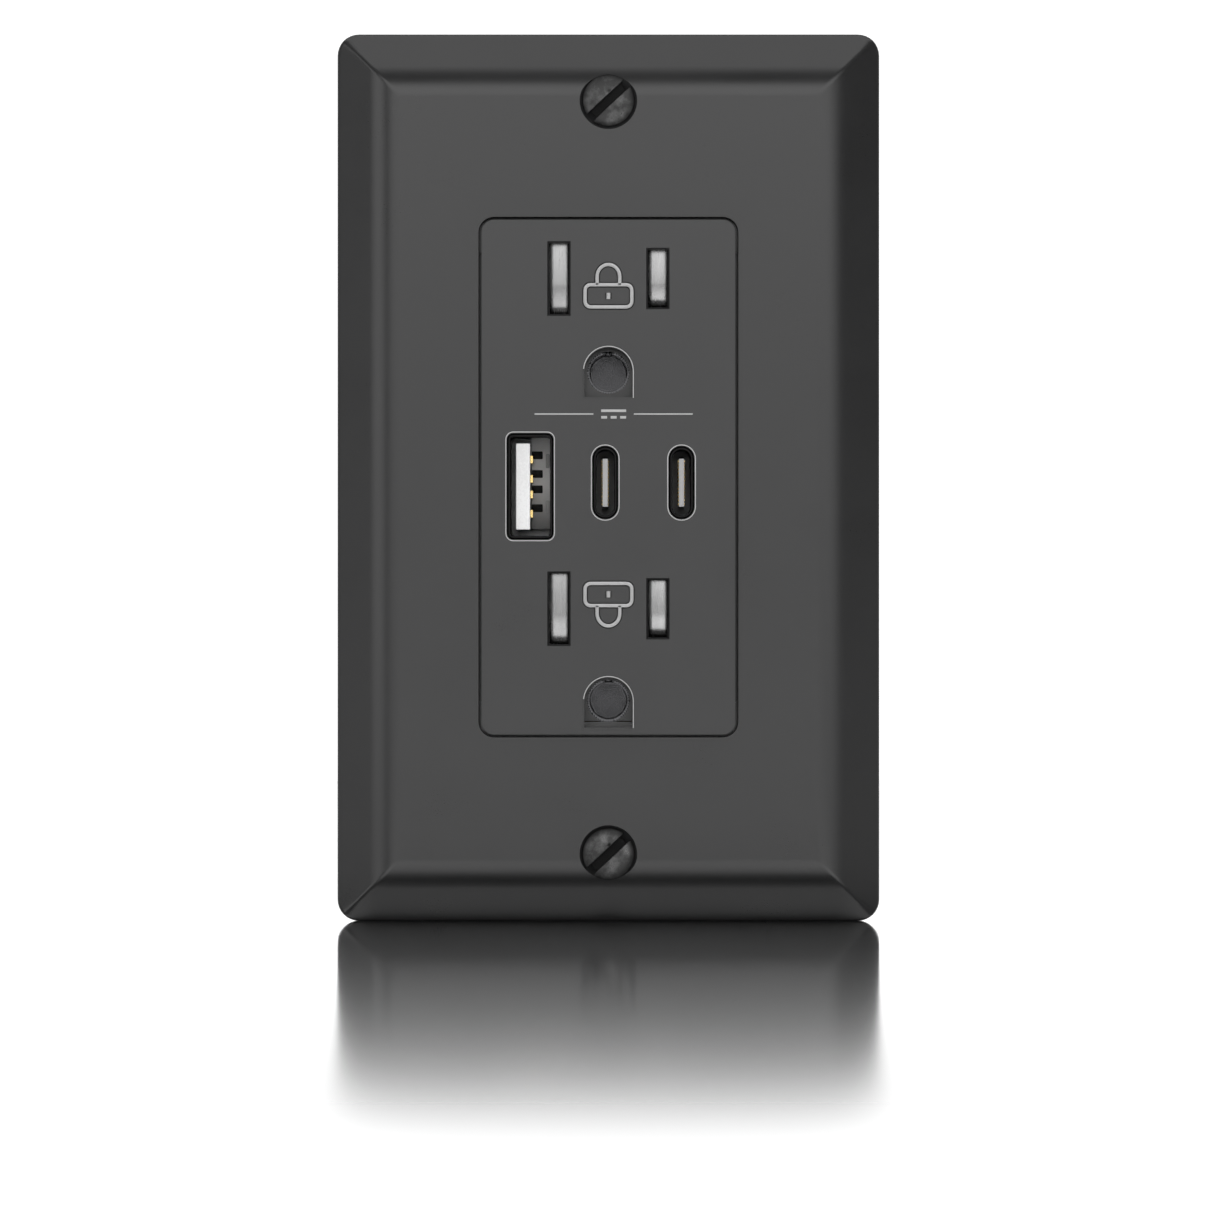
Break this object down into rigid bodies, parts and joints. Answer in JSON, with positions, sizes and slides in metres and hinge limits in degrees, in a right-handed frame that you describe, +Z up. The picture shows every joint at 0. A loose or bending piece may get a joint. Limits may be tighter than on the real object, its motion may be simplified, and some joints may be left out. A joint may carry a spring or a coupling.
{
  "type": "duplex wall outlet with charging ports",
  "caption": "Wall outlet with two grounded sockets behind sliding shutters, charging ports, a screwed wall plate, strap, wire clamps and a rear power supply.",
  "frame": {"origin": "on the finished wall plane, midway between the two box screws", "axes": "+Z up along the line through the screws, +Y into the wall, +X to the right seen from the front"},
  "size_m": [0.0698, 0.0416, 0.1142],
  "materials": {
    "plate_black": "satin moulded plastic, charcoal black",
    "face_black": "satin moulded plastic, charcoal black",
    "housing_black": "fine matt moulded plastic",
    "tray_black": "matt moulded plastic",
    "screw_black": "black-finished steel, semi-gloss",
    "strap_zinc": "galvanised steel",
    "screw_zinc": "bright zinc-plated steel",
    "brass": "plain brass, satin",
    "nickel": "nickel-plated brass",
    "ground_green": "green-dyed plated steel",
    "fibre": "pressed vulcanised fibre",
    "shutter_silver": "silver satin",
    "spring_steel": "drawn spring wire",
    "port_black": "gloss black plated shell",
    "port_white": "white moulded insulator",
    "port_grey": "light grey moulded insulator",
    "contact_gold": "gold-flashed contact",
    "carrier_black": "glass-filled polyester, black",
    "board_green": "glass-epoxy board with solder mask",
    "ferrite": "sintered ferrite",
    "bobbin": "black moulded bobbin",
    "tape_yellow": "polyester tape over copper winding",
    "can_sleeve": "aluminium can in a shrink sleeve",
    "chip_black": "moulded epoxy",
    "copper_wire": "enamelled copper over a toroid",
    "film_yellow": "moulded film capacitor case",
    "fuse_brown": "moulded radial fuse",
    "lead_black": "black wire insulation",
    "lead_white": "white wire insulation"
  },
  "bodies": {
    "device": {"front_cover": "face_black", "mounting_strap": "strap_zinc", "rear_housing": "housing_black", "housing_screws": "screw_zinc", "contact_carrier": "carrier_black", "shutter_tray_upper": "tray_black", "shutter_tray_lower": "tray_black", "shutter_spring_upper": "spring_steel", "shutter_spring_lower": "spring_steel", "hot_bus": "brass", "neutral_bus": "nickel", "ground_bus": "brass", "ground_rivets": "screw_zinc", "usb_a_shell": "port_black", "usb_a_tongue": "port_white", "usb_a_contacts": "contact_gold", "usb_c_left_shell": "port_black", "usb_c_left_tongue": "port_grey", "usb_c_left_contacts": "contact_gold", "usb_c_right_shell": "port_black", "usb_c_right_tongue": "port_grey", "usb_c_right_contacts": "contact_gold", "port_board": "board_green", "link_header": "bobbin", "insulation_barrier": "fibre", "main_board": "board_green", "transformer_core": "ferrite", "transformer_bobbin": "bobbin", "transformer_winding": "tape_yellow", "input_capacitor": "can_sleeve", "output_capacitors": "can_sleeve", "bridge_rectifier": "chip_black", "controller_chips": "chip_black", "choke": "copper_wire", "safety_capacitor": "film_yellow", "fuse": "fuse_brown", "supply_lead_hot": "lead_black", "supply_lead_neutral": "lead_white"},
    "wall_plate": {"wall_plate": "plate_black"},
    "plate_screw_top": {"plate_screw_top": "screw_black"},
    "plate_screw_bottom": {"plate_screw_bottom": "screw_black"},
    "box_screw_top": {"box_screw_top": "screw_zinc"},
    "box_screw_bottom": {"box_screw_bottom": "screw_zinc"},
    "box_screw_retainer_top": {"box_screw_retainer_top": "fibre"},
    "box_screw_retainer_bottom": {"box_screw_retainer_bottom": "fibre"},
    "ground_screw": {"ground_screw": "ground_green"},
    "ground_clamp": {"ground_clamp": "strap_zinc"},
    "shutter_upper": {"shutter_upper": "shutter_silver"},
    "shutter_lower": {"shutter_lower": "shutter_silver"},
    "terminal_screw_hot_upper": {"terminal_screw_hot_upper": "brass"},
    "terminal_screw_hot_lower": {"terminal_screw_hot_lower": "brass"},
    "terminal_screw_neutral_upper": {"terminal_screw_neutral_upper": "nickel"},
    "terminal_screw_neutral_lower": {"terminal_screw_neutral_lower": "nickel"},
    "pressure_plate_hot_upper": {"pressure_plate_hot_upper": "brass"},
    "pressure_plate_hot_lower": {"pressure_plate_hot_lower": "brass"},
    "pressure_plate_neutral_upper": {"pressure_plate_neutral_upper": "nickel"},
    "pressure_plate_neutral_lower": {"pressure_plate_neutral_lower": "nickel"}
  },
  "joints": [
    {"name": "wall_plate_lift", "type": "slide", "parent": "device", "child": "wall_plate", "axis": [0, -1, 0], "range_m": [0, 0.03]},
    {"name": "plate_screw_top_turn", "type": "hinge", "parent": "wall_plate", "child": "plate_screw_top", "pos_m": [0, -0.006, 0.04842], "axis": [0, -1, 0], "continuous": true},
    {"name": "plate_screw_bottom_turn", "type": "hinge", "parent": "wall_plate", "child": "plate_screw_bottom", "pos_m": [0, -0.006, -0.04842], "axis": [0, -1, 0], "continuous": true},
    {"name": "box_screw_top_shift", "type": "slide", "parent": "device", "child": "box_screw_retainer_top", "axis": [1, 0, 0], "range_m": [-0.0016, 0.0016]},
    {"name": "box_screw_top_turn", "type": "hinge", "parent": "box_screw_retainer_top", "child": "box_screw_top", "pos_m": [0, 0, 0.04167], "axis": [0, -1, 0], "continuous": true},
    {"name": "box_screw_bottom_shift", "type": "slide", "parent": "device", "child": "box_screw_retainer_bottom", "axis": [1, 0, 0], "range_m": [-0.0016, 0.0016]},
    {"name": "box_screw_bottom_turn", "type": "hinge", "parent": "box_screw_retainer_bottom", "child": "box_screw_bottom", "pos_m": [0, 0, -0.04167], "axis": [0, -1, 0], "continuous": true},
    {"name": "hot_upper_clamp_slide", "type": "slide", "parent": "device", "child": "pressure_plate_hot_upper", "axis": [1, 0, 0], "range_m": [0, 0.00238]},
    {"name": "hot_upper_screw_turn", "type": "hinge", "parent": "pressure_plate_hot_upper", "child": "terminal_screw_hot_upper", "pos_m": [0.01979, 0.0077, 0.013], "axis": [1, 0, 0], "range_deg": [0, 1080]},
    {"name": "hot_lower_clamp_slide", "type": "slide", "parent": "device", "child": "pressure_plate_hot_lower", "axis": [1, 0, 0], "range_m": [0, 0.00238]},
    {"name": "hot_lower_screw_turn", "type": "hinge", "parent": "pressure_plate_hot_lower", "child": "terminal_screw_hot_lower", "pos_m": [0.01979, 0.0077, -0.013], "axis": [1, 0, 0], "range_deg": [0, 1080]},
    {"name": "neutral_upper_clamp_slide", "type": "slide", "parent": "device", "child": "pressure_plate_neutral_upper", "axis": [-1, 0, 0], "range_m": [0, 0.00238]},
    {"name": "neutral_upper_screw_turn", "type": "hinge", "parent": "pressure_plate_neutral_upper", "child": "terminal_screw_neutral_upper", "pos_m": [-0.01979, 0.0077, 0.013], "axis": [-1, 0, 0], "range_deg": [0, 1080]},
    {"name": "neutral_lower_clamp_slide", "type": "slide", "parent": "device", "child": "pressure_plate_neutral_lower", "axis": [-1, 0, 0], "range_m": [0, 0.00238]},
    {"name": "neutral_lower_screw_turn", "type": "hinge", "parent": "pressure_plate_neutral_lower", "child": "terminal_screw_neutral_lower", "pos_m": [-0.01979, 0.0077, -0.013], "axis": [-1, 0, 0], "range_deg": [0, 1080]},
    {"name": "ground_clamp_slide", "type": "slide", "parent": "device", "child": "ground_clamp", "axis": [-1, 0, 0], "range_m": [0, 0.00238]},
    {"name": "ground_screw_turn", "type": "hinge", "parent": "ground_clamp", "child": "ground_screw", "pos_m": [-0.0146, 0.006, -0.04], "axis": [-1, 0, 0], "range_deg": [0, 1080]},
    {"name": "shutter_upper_slide", "type": "slide", "parent": "device", "child": "shutter_upper", "axis": [1, 0, 0], "range_m": [0, 0.0034], "stiffness_N_per_m": 150, "deforming": ["shutter_spring_upper"]},
    {"name": "shutter_lower_slide", "type": "slide", "parent": "device", "child": "shutter_lower", "axis": [1, 0, 0], "range_m": [0, 0.0034], "stiffness_N_per_m": 150, "deforming": ["shutter_spring_lower"]}
  ],
  "couplings": [
    {"joint": "hot_upper_screw_turn", "follows": "hot_upper_clamp_slide", "rad_per_m": 7915.3},
    {"joint": "hot_lower_screw_turn", "follows": "hot_lower_clamp_slide", "rad_per_m": 7915.3},
    {"joint": "neutral_upper_screw_turn", "follows": "neutral_upper_clamp_slide", "rad_per_m": 7915.3},
    {"joint": "neutral_lower_screw_turn", "follows": "neutral_lower_clamp_slide", "rad_per_m": 7915.3},
    {"joint": "ground_screw_turn", "follows": "ground_clamp_slide", "rad_per_m": 7915.3}
  ]
}
